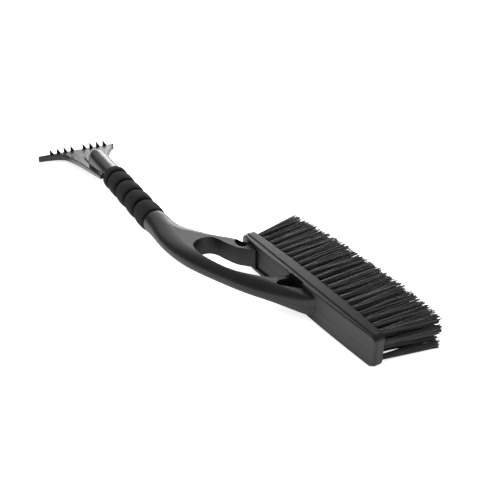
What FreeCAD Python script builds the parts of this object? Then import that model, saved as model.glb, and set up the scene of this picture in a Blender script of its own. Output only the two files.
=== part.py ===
import FreeCAD, Part
import math
import os

# Snow brush with an ice scraper head, lying on its side.
#
# Everything is drawn in the tool's own frame and laid down at the end:
#   x = 0 at the handle end of the brush, +x to the brush's free end, -x to the scraper
#   y = 0 at the face that the bristles leave, +y along the bristles
#   z = 0 in the flat mid-plane that the moulding's two halves meet in
# Laid down, the tool touches the ground with both corners of the blade and with the free
# end of the brush, and the origin is under the middle of its bounding box.

# ---- brush ----------------------------------------------------------------------------
brush_length = 200.0        # tufted plate, end to end
brush_height = 30.0         # tufted plate, across the rows
plate_bow = 3.4             # the bristle face bulges by this much in the middle
rim_thickness = 8.2         # visible rim of the tufted plate, at its ends
rim_corner = 5.0            # radius of the plate's corners at the free end
rim_heel_corner = 8.0       # the same at the handle end
rim_edge = 1.2              # rounding of the rim's edge on the bristle side
rim_back_edge = 1.8         # rounding of its edge beside the block
plug_spans = ((10.0, 28.0), (110.0, 150.0))     # two tongues that seat the plate in the block
plug_depth = 1.6
plug_inset = 3.5            # rim edge to tongue edge
plug_corner = 3.0
seat_clearance = 0.15       # tongue to its seat in the block

bristle_length = 58.5       # plate face to bristle tips
end_trim = 3.0              # the last tufts at either end are this much shorter
tuft_rows = 4
tuft_pitch = 9.0            # along the plate
row_pitch = 7.2             # across the plate
row_margin = 5.5            # plate end to the first tuft's centre
hole_diameter = 4.4         # drilled hole of one tuft
hole_depth = 6.5
tuft_clearance = 0.05       # tuft to the wall of its hole
tuft_tip_diameter = 6.4     # a tuft spreads towards its tip
fan_angle = 7.0             # extra lean of the last tuft at either end of the plate
fan_reach = 34.0            # length at either end over which the tufts lean
anchor_height = 1.6         # flat wire anchor that pins a tuft in its hole
anchor_thickness = 0.5
anchor_gap = 0.2            # anchor end to the wall of the hole

# ---- block that carries the plate -------------------------------------------------------
rim_overhang = 0.8          # the rim stands proud of the block all round
block_back = 12.6           # bristle face to the block's back
block_back_heel = 10.2      # the same at the handle end
block_back_tip = 9.8        # the same at the free end
block_corner = 4.6
block_heel_corner = 7.4
block_edge = 0.9

# ---- hand loop --------------------------------------------------------------------------
arm_half_height = 9.5       # half the height of both arms
arm_cap = 13.0              # how far the arms' rounded outer sides reach inwards
brush_side_cap = 3.5        # the same on the side towards the brush
loop_start = 30.0           # corner between the far arm and the brush side of the loop
loop_end = 81.5             # end of the loop beside the near arm's foot
bead_start = 13.6           # bristle face to the beads above and below the web
bead_end = 10.6
web_start = 11.3            # bristle face to the recessed web between the beads
web_end = 9.8
web_half_height = 10.2
pocket_depth = 14.0         # blind pockets that lighten the two joints of arm and block
pocket_corner = 1.2

# ---- tube, grip and neck ------------------------------------------------------------------
neck_x = -86.5              # shoulder of the handle that the grip butts against
neck_y = -63.4
neck_diameter = 25.4
tube_angle = 2.8            # the tube leans towards the bristle side, degrees
core_tube_diameter = 16.0
core_tube_wall = 1.5
handle_bore_depth = 34.0
head_bore_depth = 40.0
bore_clearance = 0.1        # tube to either bore
tube_end_gap = 0.5          # tube end to the bottom of either bore
grip_bumps = 5
first_bump = 31.3           # beside the neck
grip_pitch = 27.8           # the bumps between
last_bump = 15.0            # beside the scraper head
grip_diameter = 29.0
groove_depth = 2.6
groove_width = 4.0
shoulder_drop = 0.4         # a bump is this much lower beside its groove than in its middle
grip_clearance = 0.15       # foam to tube
grip_end_gap = 0.2          # foam to the shoulders at either end

# ---- scraper head ---------------------------------------------------------------------------
socket_wall = 3.6
socket_length = 55.0        # straight part of the socket
nose_length = 19.0          # rounded end of the socket
blade_width = 103.5
blade_reach = 158.3         # grip end to the ridge that the teeth stand on
blade_bevel = 5.0           # ridge to the scraping edge
plate_start_rise = 3.0      # the plate's top above the tube axis at the grip
plate_front_drop = 24.0     # the same below the axis at the ridge
skirt_start = 3.6           # height of the edge skirt at the grip
skirt_front = 8.0           # the same at the blade
head_thickness = 3.0
skirt_wall = 2.4
plate_edge = 1.1            # rounding all round the plate's top
lip_wall = 4.0              # ridge back to the hollow under the plate
hollow_flare = 7.0          # the hollow widens by this much on either side towards the blade
tip_round = 2.2
teeth_per_group = 4
tooth_pitch = 9.3
tooth_group_gap = 16.7      # between the inner tips of the two groups
tooth_height = 8.4
tooth_base = 6.2
tooth_thickness = 2.4
tooth_root = 1.6            # how deep a tooth's foot is set in the ridge
rib_thickness = 1.4
rib_height = 2.2
rib_gap = 2.0               # socket to rib at the grip
rib_tip_reach = 101.0       # grip end to the tip of the two ribs beside the socket
rib_tip_offset = 4.9

socket_radius = core_tube_diameter / 2 + bore_clearance + socket_wall
bump_lengths = [first_bump] + [grip_pitch] * (grip_bumps - 2) + [last_bump]
grip_length = sum(bump_lengths)
grip_span = grip_length + 2 * grip_end_gap
bow_radius = ((brush_length / 2) ** 2 + plate_bow ** 2) / (2 * plate_bow)
lift = FreeCAD.Vector(0, 0, 1)


def vec(x, y, z=0.0):
    return FreeCAD.Vector(x, y, z)


def face_of(edges):
    return Part.Face(Part.Wire(Part.sortEdges(edges)[0]))


def prism(edges, low, high):
    """Solid of a flat outline at z = 0, from height low to height high."""
    face = face_of(edges)
    face.translate(vec(0, 0, low))
    return face.extrude(vec(0, 0, high - low))


def lines(points, closed=True):
    ends = points[1:] + points[:1] if closed else points[1:]
    return [Part.LineSegment(a, b).toShape() for a, b in zip(points, ends)]


def spline(points, start=None, end=None):
    curve = Part.BSplineCurve()
    if start is None:
        curve.interpolate(points)
    else:
        curve.interpolate(Points=points, InitialTangent=start, FinalTangent=end)
    return curve.toShape()


def rounded_bar(x0, x1, y0, y1, half_height, corner, heel_corner):
    """Bar along x whose outline across y has rounded corners; the heel is the end at x0."""
    edges = []
    ends = []
    for sx, sz in ((1, 1), (-1, 1), (-1, -1), (1, -1)):
        r = corner if sx > 0 else heel_corner
        px = x1 - r if sx > 0 else x0 + r
        pz = sz * (half_height - r)
        d = r * math.sqrt(0.5)
        along = vec(px + sx * r, y0, pz)
        middle = vec(px + sx * d, y0, pz + sz * d)
        across = vec(px, y0, pz + sz * r)
        edges.append(Part.Arc(along, middle, across).toShape())
        ends.append((along, across))
    edges.append(Part.LineSegment(ends[0][1], ends[1][1]).toShape())
    edges.append(Part.LineSegment(ends[1][0], ends[2][0]).toShape())
    edges.append(Part.LineSegment(ends[2][1], ends[3][1]).toShape())
    edges.append(Part.LineSegment(ends[3][0], ends[0][0]).toShape())
    return face_of(edges).extrude(vec(0, y1 - y0, 0))


def soft_prism(points, low, high, corner):
    """Prism of a straight-sided outline whose upright edges are rounded."""
    solid = prism(lines(points), low, high)
    return solid.makeFillet(corner, [edge for edge in solid.Edges if edge.BoundBox.ZLength > 1])


# ---- places along the tube ---------------------------------------------------------------
def on_tube(shape):
    """Move a shape drawn along +x from the neck's shoulder onto the tube's axis."""
    moved = shape.copy()
    moved.rotate(vec(0, 0, 0), lift, 180 - tube_angle)
    moved.translate(vec(neck_x, neck_y))
    return moved


def rod(radius, start, end):
    """Cylinder on the tube's axis, start and end measured from the neck's shoulder."""
    return Part.makeCylinder(radius, end - start, vec(start, 0), vec(1, 0))


# ---- tufted plate ----------------------------------------------------------------------------
def face_y(x):
    """Place of the bowed bristle face at x."""
    return math.sqrt(bow_radius ** 2 - (x - brush_length / 2) ** 2) - bow_radius + plate_bow


def tuft_places():
    """(row, x, z, lean, length) of every tuft; every second row is staggered by half a pitch."""
    places = []
    span = brush_length - 2 * row_margin
    count = int(span // tuft_pitch) + 1
    first = (brush_length - (count - 1) * tuft_pitch) / 2
    for row in range(tuft_rows):
        z = (row - (tuft_rows - 1) / 2) * row_pitch
        stagger = row % 2
        for k in range(count - stagger):
            x = first + (k + stagger / 2) * tuft_pitch
            free_end = max(0.0, 1 - (brush_length - x) / fan_reach)
            handle_end = max(0.0, 1 - x / fan_reach)
            square_on = math.degrees(math.asin((x - brush_length / 2) / bow_radius))
            lean = square_on + fan_angle * (free_end - handle_end)
            length = bristle_length - end_trim * (free_end + handle_end)
            places.append((row, x, z, lean, length))
    return places


def at_place(shape, place):
    """Move a shape drawn along +y from the origin to a tuft's place on the bristle face."""
    row, x, z, lean, length = place
    moved = shape.copy()
    moved.rotate(vec(0, 0), lift, -lean)
    moved.translate(vec(x, face_y(x), z))
    return moved


def make_plate(places):
    half = brush_height / 2
    bar = rounded_bar(0, brush_length, -rim_thickness, plate_bow + 1, half, rim_corner, rim_heel_corner)
    x0 = -rim_corner
    x1 = brush_length + rim_corner
    front = Part.Arc(vec(x0, face_y(x0)), vec(brush_length / 2, plate_bow), vec(x1, face_y(x1))).toShape()
    back = [vec(x1, face_y(x1)), vec(x1, -rim_thickness - 1), vec(x0, -rim_thickness - 1), vec(x0, face_y(x0))]
    plate = bar.common(prism([front] + lines(back, closed=False), -half - 1, half + 1))
    edges = [edge for edge in plate.Edges if edge.BoundBox.YMin > -rim_edge / 2]
    plate = plate.makeFillet(rim_edge, edges)
    edges = [edge for edge in plate.Edges if edge.BoundBox.YMax < -rim_thickness + rim_edge / 2]
    plate = plate.makeFillet(rim_back_edge, edges)
    for start, end in plug_spans:
        low = -rim_thickness - plug_depth
        tongue = rounded_bar(start, end, low, -rim_thickness, half - plug_inset, plug_corner, plug_corner)
        plate = plate.fuse(tongue)
    hole = Part.makeCylinder(hole_diameter / 2, hole_depth + 1, vec(0, -hole_depth), vec(0, 1, 0))
    return plate.removeSplitter().cut(Part.makeCompound([at_place(hole, place) for place in places]))


def make_tuft(place):
    """A straight root in the hole, then a bundle that spreads."""
    root_radius = hole_diameter / 2 - tuft_clearance
    seat = -hole_depth + anchor_height
    root = Part.makeCylinder(root_radius, -seat, vec(0, seat), vec(0, 1, 0))
    bundle = Part.makeCone(root_radius, tuft_tip_diameter / 2, place[4], vec(0, 0), vec(0, 1, 0))
    return at_place(root.fuse(bundle), place)


def make_anchor(place):
    width = hole_diameter - 2 * anchor_gap
    corner = vec(-width / 2, -hole_depth, -anchor_thickness / 2)
    return at_place(Part.makeBox(width, anchor_height, anchor_thickness, corner), place)


# ---- handle moulding ---------------------------------------------------------------------------
def section(x, near, far, half_height, outer_cap, brush_cap, turn=0.0):
    """Oval section across the handle: flat above and below, elliptical at both sides."""
    centre = vec(x, (near + far) / 2)
    half_width = (far - near) / 2
    edges = []
    flat = {}
    for side, cap in ((1, brush_cap), (-1, outer_cap)):
        cap = min(cap, half_width - 0.3)
        flat[side] = side * (half_width - cap)
        middle = vec(0, flat[side])
        if cap >= half_height:
            oval = Part.Ellipse(middle + vec(0, side * cap), middle + vec(0, 0, half_height), middle)
        else:
            oval = Part.Ellipse(middle + vec(0, 0, half_height), middle + vec(0, side * cap), middle)
        top = oval.parameter(middle + vec(0, 0, half_height))
        bottom = oval.parameter(middle + vec(0, 0, -half_height))
        arc = Part.Arc(oval, top, bottom if bottom > top else bottom + 2 * math.pi).toShape()
        probe = arc.valueAt((arc.FirstParameter + arc.LastParameter) / 2)
        if (probe.y - middle.y) * side < 0:
            arc = Part.Arc(oval, bottom, top if top > bottom else top + 2 * math.pi).toShape()
        edges.append(arc)
    edges += [Part.LineSegment(vec(0, flat[-1], z), vec(0, flat[1], z)).toShape()
              for z in (half_height, -half_height)]
    wire = Part.Wire(Part.sortEdges(edges)[0])
    wire.rotate(vec(0, 0, 0), lift, turn)
    wire.translate(centre)
    return wire


def make_arms():
    """The body from the neck to the brush block, before the loop is opened."""
    r = neck_diameter / 2
    b = arm_half_height
    c = brush_side_cap
    stations = [
        (-70.0, -76.6, -49.2, (r + b) / 2 + 0.2, 15.0, 15.0),
        (-50.0, -78.3, -43.6, b + 0.7, 16.0, 16.0),
        (-30.0, -78.4, -33.2, b + 0.2, 15.0, 12.0),
        (-10.0, -76.2, -21.5, b, arm_cap, c + 3),
        (12.0, -71.0, -10.0, b, arm_cap, c),
        (38.0, -61.8, -9.5, b, arm_cap, c),
        (62.0, -52.0, -9.5, b, arm_cap, c),
        (82.0, -41.5, -9.5, b, arm_cap, c),
        (100.0, -30.8, -9.5, b, 9.0, c),
        (115.0, -21.8, -9.5, b, 5.0, c),
        (126.0, -12.0, -9.5, b, 1.0, 1.0),
    ]
    start = section(neck_x, neck_y - r, neck_y + r, r, r, r, -tube_angle)
    wires = [start] + [section(*station) for station in stations]
    return Part.makeLoft(wires, True, False)


def loop_outline():
    """Hand loop: a rounded rear end, two bowed arms and the straight brush side."""
    around = [vec(loop_start, -bead_start), vec(24.0, -18.2), vec(17.5, -24.0), vec(8.0, -28.3),
              vec(-2.0, -31.3), vec(-10.5, -34.0), vec(-15.4, -38.7), vec(-17.0, -45.0),
              vec(-15.4, -52.2), vec(-9.0, -58.8), vec(2.0, -60.8), vec(12.2, -59.8), vec(33.0, -54.5),
              vec(54.0, -45.6), vec(69.0, -34.4), vec(76.5, -26.6), vec(80.4, -18.5),
              vec(loop_end, -bead_end)]
    edge = spline(around, vec(-0.8, -0.6), vec(0.08, 1).normalize())
    return [edge, Part.LineSegment(around[-1], around[0]).toShape()]


def make_web_recess():
    """The brush side of the loop is recessed between an upper and a lower bead."""
    outline = [vec(loop_start, -web_start), vec(loop_start, -bead_start - 1), vec(loop_end, -bead_end - 1),
               vec(loop_end, -web_end)]
    return prism(lines(outline), -web_half_height, web_half_height)


def make_pockets():
    floor = arm_half_height - pocket_depth
    oval = Part.Ellipse(vec(10.0, -17.7), 8.3, 5.0).toShape()
    brush_side = -web_end - 0.8
    corner = [vec(84.3, -22.5), vec(87.0, -27.4), vec(91.0, -26.6), vec(105.2, -14.4),
              vec(105.2, brush_side), vec(86.5, brush_side)]
    return [prism([oval], floor, 40), soft_prism(corner, floor, 40, pocket_corner)]


def make_block():
    """Bar that the plate is seated on; its back slopes in towards both ends."""
    half = brush_height / 2 - rim_overhang
    x0 = rim_overhang
    x1 = brush_length - rim_overhang
    bar = rounded_bar(x0, x1, -block_back - 1, -rim_thickness, half, block_corner, block_heel_corner)
    back = [vec(x0 - 1, -block_back_heel), vec(24, -block_back), vec(brush_length * 0.35, -block_back),
            vec(brush_length * 0.62, -block_back), vec(brush_length * 0.83, -block_back + 1.1),
            vec(x1 + 1, -block_back_tip)]
    front = lines([back[-1], vec(x1 + 1, 0), vec(x0 - 1, 0), back[0]], closed=False)
    bar = bar.common(prism([spline(back)] + front, -brush_height, brush_height))
    edges = [edge for edge in bar.Edges if edge.BoundBox.YMax < -rim_thickness - 0.5]
    return bar.makeFillet(block_edge, edges)


def make_handle():
    body = make_arms().fuse(make_block())
    body = body.cut(prism(loop_outline(), -40, 40)).cut(make_web_recess())
    for pocket in make_pockets():
        body = body.cut(pocket)
    half = brush_height / 2 - plug_inset + seat_clearance
    for start, end in plug_spans:
        floor = -rim_thickness - plug_depth - seat_clearance
        corner = plug_corner + seat_clearance
        seat = rounded_bar(start - seat_clearance, end + seat_clearance, floor, 0, half, corner, corner)
        body = body.cut(seat)
    bore = rod(core_tube_diameter / 2 + bore_clearance, -handle_bore_depth, 1)
    return body.cut(on_tube(bore))


# ---- tube and grip ------------------------------------------------------------------------------
def make_core_tube():
    start = -handle_bore_depth + tube_end_gap
    end = grip_span + head_bore_depth - tube_end_gap
    outer = rod(core_tube_diameter / 2, start, end)
    return on_tube(outer.cut(rod(core_tube_diameter / 2 - core_tube_wall, start - 1, end + 1)))


def make_grip():
    """Foam sleeve: a row of shallow bumps parted by narrow grooves."""
    bore = core_tube_diameter / 2 + grip_clearance
    high = grip_diameter / 2
    low = high - groove_depth
    half = groove_width / 2
    shoulder = high - shoulder_drop
    knuckle = (low + shoulder) / 2 + 0.1 * half
    edges = [Part.LineSegment(vec(grip_end_gap, bore), vec(grip_end_gap, low)).toShape()]
    x = grip_end_gap
    for length in bump_lengths:
        a = vec(x, low)
        b = vec(x + half, shoulder)
        c = vec(x + length - half, shoulder)
        d = vec(x + length, low)
        edges.append(Part.Arc(a, vec(a.x + 0.35 * half, knuckle), b).toShape())
        edges.append(Part.Arc(b, vec(x + length / 2, high), c).toShape())
        edges.append(Part.Arc(c, vec(d.x - 0.35 * half, knuckle), d).toShape())
        x += length
    edges += lines([vec(x, low), vec(x, bore), vec(grip_end_gap, bore)], closed=False)
    return on_tube(face_of(edges).revolve(vec(0, 0), vec(1, 0), 360))


# ---- scraper head ---------------------------------------------------------------------------------
def plate_top(s):
    """Height of the head plate's top at the distance s from the grip."""
    return plate_start_rise - (plate_start_rise + plate_front_drop) * s / blade_reach


def skirt_low(s):
    drop = skirt_start + (skirt_front - skirt_start) * s / blade_reach
    return plate_top(s) - drop


def side_slab(top, low, s0, s1, half_width):
    """Everything between two sloping lines, seen from the side, over the full width."""
    points = [(s0, top(s0)), (s1, top(s1)), (s1, low(s1)), (s0, low(s0))]
    face = face_of(lines([vec(s, -half_width, z) for s, z in points]))
    return face.extrude(vec(0, 2 * half_width, 0))


def side_points(far, inset=0.0):
    """One side of the head, from the grip to its wing; the far side flares out sooner."""
    tip = blade_width / 2
    if far:
        side = [(0.0, 15.0), (47.0, 16.8), (89.0, 21.5), (blade_reach - 36, 33.5)]
        wing = [(blade_reach - 13.5, 0.84 * tip), (blade_reach - 6.0, 0.91 * tip)]
    else:
        side = [(0.0, 16.0), (47.0, 16.4), (89.0, 17.2), (blade_reach - 36, 19.2)]
        wing = [(blade_reach - 13.5, 0.49 * tip), (blade_reach - 6.0, 0.7 * tip)]
    points = side if inset else side + wing + [(blade_reach - tip_round, tip - tip_round)]
    across = -1 if far else 1
    return [vec(s, across * (w - inset)) for s, w in points]


def head_outline():
    tip = blade_width / 2
    front = blade_reach + blade_bevel
    edges = []
    for far, across in ((False, 1), (True, -1)):
        side = side_points(far)
        heel = vec(blade_reach, across * tip)
        bow = vec(blade_reach - 0.6 * tip_round, across * (tip - 0.35 * tip_round))
        edges += [spline(side), Part.Arc(side[-1], bow, heel).toShape()]
        edges.append(Part.LineSegment(heel, vec(front, heel.y)).toShape())
    edges.append(Part.LineSegment(vec(front, tip), vec(front, -tip)).toShape())
    edges.append(Part.LineSegment(side_points(False)[0], side_points(True)[0]).toShape())
    return edges


def hollow_outline():
    """Hollow under the plate, inside the skirt and behind the blade's lip."""
    edges = []
    ends = []
    for far, across in ((False, 1), (True, -1)):
        side = side_points(far, skirt_wall)
        back = vec(-1, side[0].y)
        front = vec(blade_reach - lip_wall, side[-1].y + across * hollow_flare)
        edges += [Part.LineSegment(back, side[0]).toShape(), spline(side)]
        edges.append(Part.LineSegment(side[-1], front).toShape())
        ends.append((back, front))
    for one, other in zip(*ends):
        edges.append(Part.LineSegment(one, other).toShape())
    return edges


def make_teeth():
    """Two groups of upright teeth; each has one steep side and one sloping side."""
    ridge = -plate_front_drop
    teeth = []
    offsets = [tooth_group_gap / 2 + k * tooth_pitch for k in range(teeth_per_group)]
    for tip in [-w for w in offsets] + offsets:
        s = blade_reach - tooth_thickness - plate_edge / 2
        low = ridge - tooth_root
        profile = [vec(s, tip + 0.6, low), vec(s, tip, ridge + tooth_height),
                   vec(s, tip - tooth_base, low)]
        teeth.append(face_of(lines(profile)).extrude(vec(tooth_thickness, 0, 0)))
    return teeth


def make_socket():
    """Round socket whose nose sinks into the plate, on walls that stand on the plate."""
    r = socket_radius
    end = socket_length
    nose = Part.Ellipse(vec(end + nose_length, 0), vec(end, r), vec(end, 0))
    quarter = Part.Arc(nose, 0, math.pi / 2).toShape()
    edges = [quarter] + lines([vec(end, r), vec(0, r), vec(0, 0), vec(end + nose_length, 0)], closed=False)
    barrel = face_of(edges).revolve(vec(0, 0), vec(1, 0), 360)
    half = Part.Arc(nose, -math.pi / 2, math.pi / 2).toShape()
    foot = [half] + lines([vec(end, r), vec(0, r), vec(0, -r), vec(end, -r)], closed=False)
    walls = prism(foot, -40, 0)
    walls = walls.common(side_slab(lambda s: 0, plate_top, 2 * socket_radius, end + nose_length + 1, 30))
    return barrel.fuse(walls).removeSplitter()


def make_ribs():
    """Two low ribs that run along the socket and close in on each other ahead of it."""
    ribs = []
    for side in (1, -1):
        start = vec(0, side * (socket_radius + rib_gap))
        end = vec(rib_tip_reach, side * rib_tip_offset)
        across = (end - start).cross(lift).normalize() * (rib_thickness / 2)
        wall = prism(lines([start + across, end + across, end - across, start - across]), -40, 10)
        slab = side_slab(lambda s: plate_top(s) + rib_height, lambda s: plate_top(s) - 1, 0, 120, 30)
        ribs.append(wall.common(slab))
    return ribs


def make_head():
    front = blade_reach + blade_bevel
    head = prism(head_outline(), -60, 20)
    head = head.common(side_slab(plate_top, skirt_low, -1, front + 1, blade_width))
    ridge = -plate_front_drop
    edge = skirt_low(front)
    waste = face_of(lines([vec(blade_reach, -blade_width, ridge), vec(front, -blade_width, edge),
                           vec(front + 5, -blade_width, edge), vec(front + 5, -blade_width, 10),
                           vec(blade_reach, -blade_width, 10)]))
    head = head.cut(waste.extrude(vec(0, 2 * blade_width, 0)))
    top = max(head.Faces, key=lambda face: face.Area * face.normalAt(0, 0).z)
    rounded = [edge for edge in top.Edges if edge.BoundBox.XMax > 1]
    head = head.makeFillet(plate_edge, rounded)
    hollow = prism(hollow_outline(), -60, 20)
    under = side_slab(lambda s: plate_top(s) - head_thickness, lambda s: -60, -2, front + 1, blade_width)
    head = head.cut(hollow.common(under))
    for piece in make_teeth() + [make_socket()] + make_ribs():
        head = head.fuse(piece)
    head = head.cut(rod(core_tube_diameter / 2 + bore_clearance, -1, head_bore_depth))
    head = head.removeSplitter()
    head.translate(vec(grip_span, 0))
    return on_tube(head)


# ---- the whole tool, laid on the ground ---------------------------------------------------------------
def lying_angle(head):
    """Turn about y that brings the blade and the brush's free end to one height."""
    box = head.BoundBox
    return math.degrees(math.atan2(-brush_height / 2 - box.ZMin, brush_length - box.XMin))


def build():
    places = tuft_places()
    parts = {
        "handle_moulding": make_handle(),
        "brush_plate": make_plate(places),
        "core_tube": make_core_tube(),
        "foam_grip": make_grip(),
        "scraper_head": make_head(),
    }
    for row in range(tuft_rows):
        mine = [place for place in places if place[0] == row]
        parts["bristle_row_%d" % (row + 1)] = Part.makeCompound([make_tuft(place) for place in mine])
        parts["tuft_anchors_%d" % (row + 1)] = Part.makeCompound([make_anchor(place) for place in mine])
    angle = lying_angle(parts["scraper_head"])
    for shape in parts.values():
        shape.rotate(vec(0, 0, 0), vec(0, 1, 0), angle)
    box = Part.makeCompound(list(parts.values())).optimalBoundingBox(False)
    ground = vec(-(box.XMin + box.XMax) / 2, -(box.YMin + box.YMax) / 2, -box.ZMin)
    for shape in parts.values():
        shape.translate(ground)
    print("lying angle %.3f deg" % angle)
    print("moved by", tuple(round(v, 3) for v in ground))
    print("size", round(box.XLength, 2), round(box.YLength, 2), round(box.ZLength, 2))
    return parts


os.makedirs("parts", exist_ok=True)
for name, shape in build().items():
    solids = shape.Solids
    print(name, len(solids), "valid" if shape.isValid() else "NOT VALID", round(shape.Volume, 1))
    shape.exportStep("parts/%s.step" % name)
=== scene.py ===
# %% [markdown]
# # A snow brush with an ice scraper
# The tool is a black moulded handle with a hand loop, a bar of bristles at one end and a
# toothed scraper at the other, and a foam grip in between. It lies on its side. The hard
# pieces come ready from the CAD frame and get their finish here. The foam and the bristles
# are made here, because their look is in softness and in thousands of single threads.

# %% Load the frame
import math
import random

import bpy
from mathutils import Matrix, Vector


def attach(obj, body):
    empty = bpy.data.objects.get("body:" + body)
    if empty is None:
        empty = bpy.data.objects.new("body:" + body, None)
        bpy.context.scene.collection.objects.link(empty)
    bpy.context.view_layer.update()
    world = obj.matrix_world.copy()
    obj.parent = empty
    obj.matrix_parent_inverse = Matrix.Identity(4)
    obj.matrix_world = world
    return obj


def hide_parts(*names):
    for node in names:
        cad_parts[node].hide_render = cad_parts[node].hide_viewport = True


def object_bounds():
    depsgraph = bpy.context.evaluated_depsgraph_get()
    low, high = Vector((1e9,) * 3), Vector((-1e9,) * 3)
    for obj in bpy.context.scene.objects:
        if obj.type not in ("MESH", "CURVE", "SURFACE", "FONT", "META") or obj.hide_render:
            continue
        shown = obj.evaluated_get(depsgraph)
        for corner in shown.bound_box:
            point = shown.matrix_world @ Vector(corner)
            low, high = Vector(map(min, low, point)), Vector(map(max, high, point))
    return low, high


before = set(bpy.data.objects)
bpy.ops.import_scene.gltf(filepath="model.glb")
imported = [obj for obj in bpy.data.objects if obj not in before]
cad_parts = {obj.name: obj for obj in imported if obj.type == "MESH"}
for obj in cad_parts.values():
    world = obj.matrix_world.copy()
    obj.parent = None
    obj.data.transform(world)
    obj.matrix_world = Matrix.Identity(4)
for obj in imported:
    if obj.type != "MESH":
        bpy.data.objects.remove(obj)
cad_low, cad_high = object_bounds()
MM = 0.001
random.seed(20)
print("CAD box in mm:", [round(v / MM, 1) for v in (*cad_low, *cad_high)])

# %% [markdown]
# ## Where things are
# A CAD node is one mesh, but a bristle row holds many separate tufts. Points that share a
# face belong to one solid, so walking over the faces parts the tufts again. The points are
# compared by place, because an imported mesh repeats a point wherever an edge is sharp.

# %% Part a node into its solids
def solids_of(node):
    """The separate solids of a CAD node, each as a list of its points."""
    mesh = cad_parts[node].data
    places = [tuple(round(c * 1e6) for c in v.co) for v in mesh.vertices]
    leader = {place: place for place in places}

    def first(place):
        while leader[place] != place:
            leader[place] = leader[leader[place]]
            place = leader[place]
        return place

    for face in mesh.polygons:
        start = first(places[face.vertices[0]])
        for corner in face.vertices[1:]:
            leader[first(places[corner])] = start
    groups = {}
    for place in leader:
        groups.setdefault(first(place), []).append(Vector(place) * 1e-6)
    return list(groups.values())


# %% [markdown]
# A tuft and the tube are both long and round, so each has a middle line from the centre of
# one end to the centre of the other. The first guess comes from a rough direction, and the
# second pass uses the line of the first.

# %% Find the middle line of a long solid
def middle_line(points, guess):
    """Start, end and direction of a long round solid that runs roughly along guess."""
    direction = Vector(guess).normalized()
    for depth in (1.5 * MM, 0.2 * MM):
        reach = [p.dot(direction) for p in points]
        low = [p for p, r in zip(points, reach) if r < min(reach) + depth]
        high = [p for p, r in zip(points, reach) if r > max(reach) - depth]
        start = sum(low, Vector()) / len(low)
        end = sum(high, Vector()) / len(high)
        direction = (end - start).normalized()
    return start, end, direction


TUFT_ROWS = 4
tufts = {}
for row in range(1, TUFT_ROWS + 1):
    lines = [middle_line(points, (0, 1, 0)) for points in solids_of(f"bristle_row_{row}")]
    tufts[row] = sorted(lines, key=lambda line: line[0].x)
print("tufts in each row:", [len(tufts[row]) for row in tufts])

# %% [markdown]
# The tool lies a little tilted, resting on the blade and on the end of the brush. Rows 1
# and 3 are not staggered against each other, so the line from one to the other is the
# tool's own upward direction, square to the flat plane in which its mould halves meet.

# %% Measure the tilt of the tool
tool_up = (tufts[3][0][0] - tufts[1][0][0]).normalized()
lowest_row = sum((line[0] for line in tufts[1]), Vector()) / len(tufts[1])
highest_row = sum((line[0] for line in tufts[4]), Vector()) / len(tufts[4])
mid_plane_point = (lowest_row + highest_row) / 2
tube_start, tube_end, tube_along = middle_line(solids_of("core_tube")[0], (-1, 0, 0))
print("tilt in degrees:", round(math.degrees(tool_up.angle(Vector((0, 0, 1)))), 2))

# %% [markdown]
# ## A small language for materials
# A material in Blender is a graph of nodes. Written out node by node it is long and hard
# to read, so a wire between two nodes is wrapped in a class that knows the four sums, and
# an expression such as `1 - mask * 0.5` adds its Math nodes by itself. Every other node
# comes from one method.

# %% Wires that can be added and multiplied
class Wire:
    """The output of a node, usable in Python sums."""

    def __init__(self, finish, socket):
        self.finish = finish
        self.socket = socket

    def sum(self, operation, first, second):
        return self.finish.node("ShaderNodeMath", {"operation": operation}, {0: first, 1: second})

    def __add__(self, other):
        return self.sum("ADD", self, other)

    def __sub__(self, other):
        return self.sum("SUBTRACT", self, other)

    def __mul__(self, other):
        return self.sum("MULTIPLY", self, other)

    def __rsub__(self, other):
        return self.sum("SUBTRACT", other, self)

    def __abs__(self):
        return self.sum("ABSOLUTE", self, 0.0)

    __radd__ = __add__
    __rmul__ = __mul__


# %% A finish: one material and its nodes
MIX_COLOURS = (6, 7, 2)     # a Mix node's two colour inputs and its colour output


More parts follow.
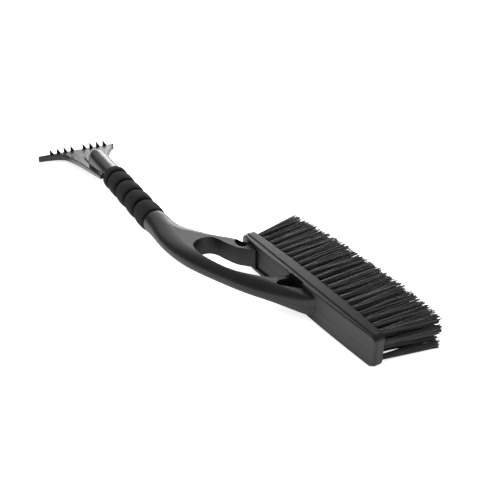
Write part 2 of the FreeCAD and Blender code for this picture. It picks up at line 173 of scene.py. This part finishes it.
class Finish:
    """A material whose nodes are added one call at a time."""

    def __init__(self, name):
        self.material = bpy.data.materials.new(name)
        self.material.use_nodes = True
        self.tree = self.material.node_tree
        self.shader = self.tree.nodes["Principled BSDF"]
        self.place = self.node("ShaderNodeTexCoord", output="Object")

    def node(self, kind, settings=None, sockets=None, output=0):
        made = self.tree.nodes.new(kind)
        for name, value in (settings or {}).items():
            setattr(made, name, value)
        for name, value in (sockets or {}).items():
            self.feed(made.inputs[name], value)
        return Wire(self, made.outputs[output])

    def feed(self, socket, value):
        if isinstance(value, Wire):
            self.tree.links.new(value.socket, socket)
        else:
            socket.default_value = value

    def surface(self, **sockets):
        """Set the shader's own sockets; an underscore in a name stands for a space."""
        for name, value in sockets.items():
            self.feed(self.shader.inputs[name.replace("_", " ")], value)

    def vector(self, operation, first, second=(0, 0, 0), output=0):
        """Vector arithmetic on a wire and three fixed numbers."""
        inputs = {0: first, 1: tuple(second)}
        return self.node("ShaderNodeVectorMath", {"operation": operation}, inputs, output)

    def noise(self, size, detail=2.0, place=None):
        """Soft noise whose blobs are about size metres across, from 0 to 1."""
        inputs = {"Vector": place or self.place, "Scale": 1 / size, "Detail": detail}
        return self.node("ShaderNodeTexNoise", sockets=inputs)

    def stretched(self, size):
        """Places scaled by a different amount in each direction."""
        return self.vector("MULTIPLY", self.place, [1 / length for length in size])

    def offset(self, point):
        """Places measured from a point."""
        return self.vector("SUBTRACT", self.place, point)

    def step(self, value, low, high):
        """0 below low, 1 above high and a smooth step between."""
        inputs = {"Value": value, "From Min": low, "From Max": high}
        return self.node("ShaderNodeMapRange", {"interpolation_type": "SMOOTHSTEP"}, inputs)

    def blend(self, mask, dark, light):
        """One colour where the mask is 0, the other where it is 1."""
        first, second, result = MIX_COLOURS
        inputs = {0: mask, first: (*dark, 1), second: (*light, 1)}
        return self.node("ShaderNodeMix", {"data_type": "RGBA"}, inputs, output=result)

    def relief(self, height, depth, strength=1.0):
        """A bumpy normal; height from 0 to 1 is depth metres."""
        inputs = {"Height": height, "Distance": depth, "Strength": strength}
        return self.node("ShaderNodeBump", sockets=inputs)


print("finishes can be written as sums")
# %% [markdown]
# ## Moulded plastic
# The handle, the plate and the scraper head are injection moulded. The mould was spark
# eroded, which leaves an even, very fine grain that breaks a reflection up. Where hands
# and snow rub, the grain is polished down in faint streaks along the tool. Both only need
# roughness and a shallow relief, so the plastic keeps one base colour with a slow cloud.

# %% A moulded finish
GRAIN = 0.35 * MM
STREAK = (45 * MM, 0.9 * MM, 0.9 * MM)
CLOUD = 28 * MM
WORN_STREAKS = (0.56, 0.74)     # a streak is polished where its noise climbs through this span
WORN_CLOUD = (0.42, 0.62)       # and only where the cloud does so too


def moulded(name, dark, light, roughness, grain_depth, seam=False):
    finish = Finish(name)
    cloud = finish.noise(CLOUD, detail=3.0)
    grain = finish.noise(GRAIN, detail=3.0)
    streaks = finish.noise(1.0, detail=2.0, place=finish.stretched(STREAK))
    worn = finish.step(streaks, *WORN_STREAKS) * finish.step(cloud, *WORN_CLOUD)
    height = grain * (1 - worn * 0.6)
    if seam:
        height = height - seam_mask(finish) * SEAM_DEPTH
    finish.surface(
        Base_Color=finish.blend(cloud, dark, light),
        Roughness=roughness + (cloud - 0.5) * 0.08 - worn * 0.05 + (grain - 0.5) * 0.05,
        Normal=finish.relief(height, grain_depth),
    )
    print("finish", name, "has", len(finish.tree.nodes), "nodes")
    return finish.material


# %% [markdown]
# The two halves of the mould meet in the tool's mid-plane, and a hair-thin line is left all
# round the handle. The line is where the distance from that plane is almost nothing.

# %% The parting line
SEAM_WIDTH = 0.35 * MM
SEAM_DEPTH = 8.0        # in grain depths


def seam_mask(finish):
    height = finish.vector("DOT_PRODUCT", finish.offset(mid_plane_point), tool_up, output="Value")
    return 1 - finish.step(abs(height), 0.3 * SEAM_WIDTH, SEAM_WIDTH)


BLACK = (0.006, 0.006, 0.0065)
SOFT_BLACK = (0.011, 0.011, 0.0115)
handle_plastic = moulded("handle_plastic", BLACK, SOFT_BLACK, 0.36, 0.02 * MM, seam=True)
plate_plastic = moulded("plate_plastic", BLACK, SOFT_BLACK, 0.4, 0.02 * MM)
head_plastic = moulded("scraper_plastic", BLACK, SOFT_BLACK, 0.3, 0.008 * MM)

# %% [markdown]
# ## Drawn tube and anchor wire
# The aluminium tube and the flat wire that pins each tuft are hidden in the finished tool,
# but they are real pieces. Metal drawn through a die has fine lines along its length.

# %% Drawn metal
DRAWN_LINES = (30 * MM, 0.25 * MM, 0.25 * MM)


def drawn_metal(name, colour, roughness):
    finish = Finish(name)
    drawn = finish.noise(1.0, detail=4.0, place=finish.stretched(DRAWN_LINES))
    darker = tuple(0.8 * part for part in colour)
    finish.surface(
        Base_Color=finish.blend(drawn, darker, colour),
        Metallic=1.0,
        Roughness=roughness + (drawn - 0.5) * 0.2,
        Normal=finish.relief(drawn, 0.01 * MM),
    )
    return finish.material


tube_metal = drawn_metal("tube_alloy", (0.75, 0.75, 0.76), 0.35)
wire_metal = drawn_metal("anchor_wire", (0.6, 0.6, 0.6), 0.4)

# %% Dress the nodes that stay
def dress(node, material):
    """Give a CAD node's object another material in every slot it has."""
    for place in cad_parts[node].material_slots:
        place.material = material


dress("handle_moulding", handle_plastic)
dress("brush_plate", plate_plastic)
dress("scraper_head", head_plastic)
dress("core_tube", tube_metal)
for row in tufts:
    dress(f"tuft_anchors_{row}", wire_metal)
print("dressed", 5 + len(tufts), "CAD nodes")

# %% [markdown]
# ## The foam grip
# The grip is a sleeve of closed-cell foam with five soft bumps. Foam has no crisp edge
# anywhere: each bump rises steeply out of its groove and is almost flat on top, like a
# loaf. A superellipse has just that shape. The profile is spun round the tube's middle
# line, so the sleeve sits exactly where the frame has it.

# %% Measure the sleeve
def along_tube(node):
    """Nearest and farthest reach of a node along the tube, and its widest radius."""
    offsets = [v.co - tube_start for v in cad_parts[node].data.vertices]
    reach = [offset.dot(tube_along) for offset in offsets]
    radii = [(offset - tube_along * r).length for offset, r in zip(offsets, reach)]
    return min(reach), max(reach), max(radii)


grip_near, grip_far, grip_radius = along_tube("foam_grip")
tube_radius = along_tube("core_tube")[2]
print("grip length in mm:", round((grip_far - grip_near) / MM, 1))
print("grip diameter in mm:", round(2 * grip_radius / MM, 1))

# %% Draw the profile of the sleeve
BUMPS = (31.3, 27.8, 27.8, 27.8, 15.0)      # lengths, from the handle to the head
GROOVE_DEPTH = 4.0 * MM
CROWN = 0.35 * MM
BUMP_STEPS = 18
SHOULDER = 3.2     # the higher the power, the squarer the bump
BORE_GAP = 0.15 * MM


def bump_radius(t):
    """Radius of the sleeve at the share t of one bump's length."""
    side = abs(2 * t - 1)
    rise = math.sqrt(max(0.0, 1 - side ** SHOULDER))
    return grip_radius - GROOVE_DEPTH - CROWN + GROOVE_DEPTH * rise + CROWN * (1 - side * side)


def sleeve_profile():
    """(reach along the tube, radius) round the section of the sleeve."""
    profile = []
    start = grip_near
    for length in BUMPS:
        span = (grip_far - grip_near) * length / sum(BUMPS)
        for k in range(BUMP_STEPS):
            t = (1 - math.cos(math.pi * k / BUMP_STEPS)) / 2
            profile.append((start + span * t, bump_radius(t)))
        start += span
    profile.append((grip_far, bump_radius(1.0)))
    bore = tube_radius + BORE_GAP
    return profile + [(grip_far, bore), (grip_near, bore)]


# %% Make an object of points and faces
def new_piece(name, points, faces):
    """A smooth-shaded mesh object, with its outside facing out."""
    mesh = bpy.data.meshes.new(name)
    mesh.from_pydata([tuple(p) for p in points], [], faces)
    mesh.validate()
    mesh.polygons.foreach_set("use_smooth", [True] * len(mesh.polygons))
    piece = bpy.data.objects.new(name, mesh)
    bpy.context.scene.collection.objects.link(piece)
    print(name, "has", len(mesh.polygons), "faces")
    return piece


# %% Spin the profile
AROUND = 96
SQUEEZE = 0.12 * MM     # foam is never quite round, except in its bore
SKIN = 1 * MM           # the bore is what lies closer to the tube than this


def spun(name, profile):
    side = tube_along.orthogonal().normalized()
    other = tube_along.cross(side)
    points = []
    for reach, radius in profile:
        for k in range(AROUND):
            turn = 2 * math.pi * k / AROUND
            spoke = side * math.cos(turn) + other * math.sin(turn)
            wobble = math.sin(3 * turn + 90 * reach) * math.sin(2 * turn + 40 * reach)
            squeezed = SQUEEZE * (wobble - 1) if radius > tube_radius + SKIN else 0
            points.append(tube_start + tube_along * reach + spoke * (radius + squeezed))
    faces = []
    rings = len(profile)
    for ring in range(rings):
        here = ring * AROUND
        there = (ring + 1) % rings * AROUND
        for k in range(AROUND):
            after = (k + 1) % AROUND
            faces.append((here + k, here + after, there + after, there + k))
    return new_piece(name, points, faces)


grip = spun("foam_sleeve", sleeve_profile())

# %% [markdown]
# Cut or moulded foam shows its cells as shallow pits of a few tenths of a millimetre.
# Voronoi cells have that look. The grooves are painted near black as shade, the bumps keep the
# foam's own dark grey with a slow mottle, and the surface scatters light so widely that it has no highlight.

# %% A foam finish
CELL = 0.55 * MM
GROOVE_SHADE_FROM = 2.2 * MM      # painted groove shade begins this far below the widest radius
GROOVE_SHADE_TO = 0.5 * MM
# the painted shade colour of the grooves, then the foam's own colour on the bumps
GROOVE_SHADE_BLACK = (0.001, 0.001, 0.001)
FOAM_BLACK = (0.022, 0.022, 0.0225)


def closed_cell_foam():
    finish = Finish("grip_foam")
    pits = finish.node("ShaderNodeTexVoronoi", {"feature": "F1"}, {"Vector": finish.place, "Scale": 1 / CELL})
    skin = finish.noise(9 * MM, detail=4.0)
    fine = finish.noise(0.2 * MM, detail=2.0)
    height = finish.step(pits, 0.05, 0.6) * 0.7 + fine * 0.3
    across = finish.vector("CROSS_PRODUCT", finish.offset(tube_start), tube_along)
    radius = finish.vector("LENGTH", across, output="Value")
    # painted shade: the foam is painted darker in its grooves, by distance from the tube's middle line
    outside_groove_shade = finish.step(radius, grip_radius - GROOVE_SHADE_FROM, grip_radius - GROOVE_SHADE_TO)
    finish.surface(
        Base_Color=finish.blend(outside_groove_shade * (skin * 0.5 + fine * 0.5), GROOVE_SHADE_BLACK, FOAM_BLACK),
        Roughness=0.86 + (skin - 0.5) * 0.12,
        Normal=finish.relief(height, 0.12 * MM, 0.8),
        Specular_IOR_Level=0.3,
    )
    return finish.material


grip.data.materials.append(closed_cell_foam())
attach(grip, "root")
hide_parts("foam_grip")

# %% [markdown]
# ## The bristles
# A tuft is a few dozen plastic threads, folded over a wire in one drilled hole. In the
# round hole they are squeezed together. Outside they splay until they fill the square
# between their neighbours, each bends a little its own way, and the factory crimps them so
# that they don't lie flat against each other. The ends are trimmed together, never quite
# even. Each thread is a thin tube of its own. The frame's tuft gives the start, the end and
# the lean of its bundle, and the last tuft keeps within the length that the frame has.

# %% The path of one thread
THREADS = 58            # in each tuft
THREAD_RADIUS = 0.32 * MM
ROOT_RADIUS = 1.9 * MM
SPLAY = 4.6 * MM        # half the width of a tuft's end along the brush
SPREAD = 3.8 * MM       # and across it
DRIFT = 0.8 * MM        # of a whole tuft's end from its place
STRAY = 0.5 * MM
BEND = 0.9 * MM
CRIMP = 0.16 * MM
CRIMP_LENGTH = 7 * MM
ROOT_DEPTH = 4.9 * MM   # of a tuft's foot below the bristle face
BURIED = 1.5 * MM       # threads start this far down in their hole
UNEVEN = (-1.2 * MM, 0.3 * MM)      # a cut end from the trimmed length
BROKEN = 0.03                       # share of the threads that are shorter
BROKEN_OFF = (2 * MM, 7 * MM)
OPENING = 1.15          # a tuft opens slowly at first: the power of its spread
PATH_STEPS = 9
FLOOR_GAP = 0.5 * MM


def thread_path(face, end, side, other, splay):
    """Points of one thread from inside its hole to its cut end."""
    along = (end - face).normalized()
    a = random.uniform(-1, 1)
    b = random.uniform(-1, 1)
    root = (side * a * math.sqrt(1 - b * b / 2) + other * b * math.sqrt(1 - a * a / 2)) * ROOT_RADIUS
    tip = side * a * splay + other * b * SPREAD
    tip += side * random.gauss(0, STRAY) + other * random.gauss(0, STRAY)
    bow = side * random.gauss(0, BEND) + other * random.gauss(0, BEND)
    length = (end - face).length + random.uniform(*UNEVEN)
    if random.random() < BROKEN:
        length -= random.uniform(*BROKEN_OFF)
    phase = random.uniform(0, 2 * math.pi)
    path = []
    for k in range(PATH_STEPS + 1):
        t = k / PATH_STEPS
        reach = t * (length + BURIED) - BURIED
        wave = CRIMP * math.sin(2 * math.pi * reach / CRIMP_LENGTH + phase) * min(1, 4 * t)
        open_up = t ** OPENING
        offset = root * (1 - open_up) + tip * open_up + bow * math.sin(math.pi * t) * t
        path.append(face + along * reach + offset + side * wave)
    return path


# %% Give a thread its thickness
THREAD_SIDES = 4
THICKNESS = (0.85, 1.1)     # of one thread, in shares of the usual radius


def add_tube(points, faces, path, radius, side, other):
    """A thin closed tube round a path, added to a growing mesh and kept off the ground."""
    start = len(points)
    for middle in path:
        for corner in range(THREAD_SIDES):
            turn = 2 * math.pi * (corner + 0.5) / THREAD_SIDES
            point = middle + (side * math.cos(turn) + other * math.sin(turn)) * radius
            point.z = max(point.z, FLOOR_GAP)
            points.append(point)
    for k in range(PATH_STEPS):
        here = start + k * THREAD_SIDES
        for corner in range(THREAD_SIDES):
            after = (corner + 1) % THREAD_SIDES
            next_ring = here + THREAD_SIDES
            faces.append((here + corner, here + after, next_ring + after, next_ring + corner))
    last = start + PATH_STEPS * THREAD_SIDES
    faces.append(tuple(range(start + THREAD_SIDES - 1, start - 1, -1)))
    faces.append(tuple(range(last, last + THREAD_SIDES)))


# %% A thread's finish
def filament():
    """Black nylon: each thread a little different in colour and shine."""
    finish = Finish("bristle")
    own = finish.node("ShaderNodeNewGeometry", output="Random Per Island")
    grime = finish.noise(6 * MM, detail=3.0)
    finish.surface(
        Base_Color=finish.blend(own * 0.7 + grime * 0.3, (0.012, 0.012, 0.012), (0.062, 0.058, 0.054)),
        Roughness=0.48 + own * 0.16,
        Normal=finish.relief(finish.noise(0.5 * MM, detail=2.0), 0.02 * MM),
    )
    return finish.material


filament_plastic = filament()

# %% Fill every hole with threads
for row, lines in tufts.items():
    points = []
    faces = []
    for foot, end, along in lines:
        side = along.cross(tool_up).normalized()
        other = along.cross(side)
        face = foot + along * ROOT_DEPTH
        end = end + side * random.gauss(0, DRIFT) - along * random.uniform(0, DRIFT)
        splay = max(ROOT_RADIUS, min(SPLAY, cad_high.x - STRAY - end.x))
        for _ in range(THREADS):
            path = thread_path(face, end, side, other, splay)
            add_tube(points, faces, path, THREAD_RADIUS * random.uniform(*THICKNESS), side, other)
    bristles = new_piece(f"bristles_{row}", points, faces)
    bristles.data.materials.append(filament_plastic)
    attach(bristles, "root")
    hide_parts(f"bristle_row_{row}")

# %% [markdown]
# ## The studio
# The tool lies on a white sweep, lit from above by a large soft box that throws no
# reflection. Gloss on black plastic is only ever the picture of a lamp, so two dimmer boxes
# stand behind the tool: the top of the handle mirrors one, the flat of the scraper the
# other. The sweep is overexposed to the eye, which leaves only the shadows of contact.

# %% The floor
FLOOR_SIZE = 16.0
TABLE_GLOW = 0.75       # extra brightness that only the camera sees


def white_sweep():
    finish = Finish("white_paper")
    fibre = finish.noise(2 * MM, detail=2.0)
    seen = finish.node("ShaderNodeLightPath", output="Is Camera Ray")
    finish.surface(
        Base_Color=finish.blend(fibre, (0.86, 0.86, 0.86), (0.88, 0.88, 0.88)),
        Roughness=0.9,
        Specular_IOR_Level=0.1,
        Emission_Color=finish.blend(seen, (0, 0, 0), (1, 1, 1)),
        Emission_Strength=TABLE_GLOW,
    )
    return finish.material


half = FLOOR_SIZE / 2
corners = [(-half, -half, 0), (half, -half, 0), (half, half, 0), (-half, half, 0)]
floor = new_piece("floor", corners, [(0, 1, 2, 3)])
floor.data.materials.append(white_sweep())

# %% The lamps
def soft_box(name, azimuth, elevation, distance, size, power, mirrored=True):
    """A flat lamp that looks at the tool; azimuth 0 is on the -Y side, 90 on the +X side."""
    lamp = bpy.data.lights.new(name, "AREA")
    lamp.shape = "RECTANGLE"
    lamp.size, lamp.size_y = size
    lamp.energy = power
    holder = bpy.data.objects.new(name, lamp)
    a = math.radians(azimuth)
    e = math.radians(elevation)
    away = Vector((math.sin(a) * math.cos(e), -math.cos(a) * math.cos(e), math.sin(e)))
    holder.location = away * distance
    holder.rotation_euler = away.to_track_quat("Z", "Y").to_euler()
    holder.visible_glossy = mirrored
    bpy.context.scene.collection.objects.link(holder)


soft_box("back_box", 258, 38, 1.7, (1.9, 0.8), 5.5)
soft_box("head_box", 242, 15, 1.7, (0.9, 0.35), 8.5)
soft_box("top_box", 180, 86, 2.6, (3.2, 3.2), 70, mirrored=False)

# %% The surroundings
ROOM_LIGHT = 0.14       # what a glossy surface sees of the room
FILL_LIGHT = 0.8        # what a matt surface receives from it


def studio_walls():
    """White to the eye and bright to matt surfaces, but a dark room to every reflection."""
    world = bpy.data.worlds.new("studio")
    world.use_nodes = True
    nodes = world.node_tree.nodes
    link = world.node_tree.links.new
    path = nodes.new("ShaderNodeLightPath")
    seen = nodes.new("ShaderNodeMath")
    fill = nodes.new("ShaderNodeMath")
    for step, ray, light in ((seen, "Is Camera Ray", 1.0), (fill, "Is Diffuse Ray", FILL_LIGHT)):
        step.operation = "MULTIPLY_ADD"
        link(path.outputs[ray], step.inputs[0])
        step.inputs[1].default_value = light - ROOM_LIGHT
    seen.inputs[2].default_value = ROOM_LIGHT
    link(seen.outputs[0], fill.inputs[2])
    link(fill.outputs[0], nodes["Background"].inputs["Strength"])
    nodes["Background"].inputs["Color"].default_value = (1, 1, 1, 1)
    return world


bpy.context.scene.world = studio_walls()
bpy.context.scene.view_settings.view_transform = "Standard"

# %% [markdown]
# ## The camera
# The camera looks down along the handle from beyond the brush, about 28 degrees above the
# floor. It is near the tool, so the scraper at the far end looks small.

# %% Place the camera
AIM = Vector((0.09837, 0.01198, 0.01957))
AZIMUTH = 59.29
ELEVATION = 28.39
ROLL = -0.62
DISTANCE = 0.7004
LENS = 52.13
SENSOR = 36.0


def place_camera():
    a = math.radians(AZIMUTH)
    e = math.radians(ELEVATION)
    away = Vector((math.sin(a) * math.cos(e), -math.cos(a) * math.cos(e), math.sin(e)))
    camera = bpy.data.cameras.new("camera")
    camera.lens = LENS
    camera.sensor_width = SENSOR
    holder = bpy.data.objects.new("camera", camera)
    turned = away.to_track_quat("Z", "Y").to_matrix() @ Matrix.Rotation(math.radians(ROLL), 3, "Z")
    holder.matrix_world = Matrix.Translation(AIM + away * DISTANCE) @ turned.to_4x4()
    bpy.context.scene.collection.objects.link(holder)
    bpy.context.scene.camera = holder


place_camera()
